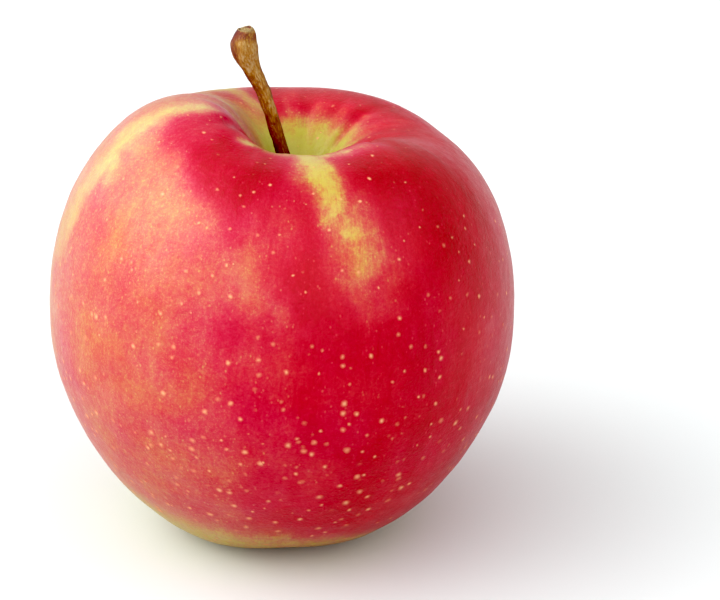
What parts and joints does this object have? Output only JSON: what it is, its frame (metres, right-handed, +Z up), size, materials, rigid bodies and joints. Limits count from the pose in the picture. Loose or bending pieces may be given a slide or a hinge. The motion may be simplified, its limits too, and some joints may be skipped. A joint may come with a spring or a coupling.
{
  "type": "apple",
  "caption": "Round fresh fruit with a lobed crown, a deep stem cavity and a woody stem, resting on its foot",
  "frame": {"origin": "on the table, under the middle of the box round the whole apple", "axes": "+Z up, -Y towards the viewer, +X to the right; the core line leans 5 degrees to +X and 1.5 degrees to +Y"},
  "size_m": [0.0756, 0.0752, 0.0851],
  "materials": {
    "skin": "waxy skin",
    "bark": "matt",
    "dry_leaf": "matt"
  },
  "bodies": {
    "root": {"fruit": "skin", "stem": "bark", "sepal_1": "dry_leaf", "sepal_2": "dry_leaf", "sepal_3": "dry_leaf", "sepal_4": "dry_leaf", "sepal_5": "dry_leaf", "stamens": "dry_leaf"}
  },
  "joints": []
}
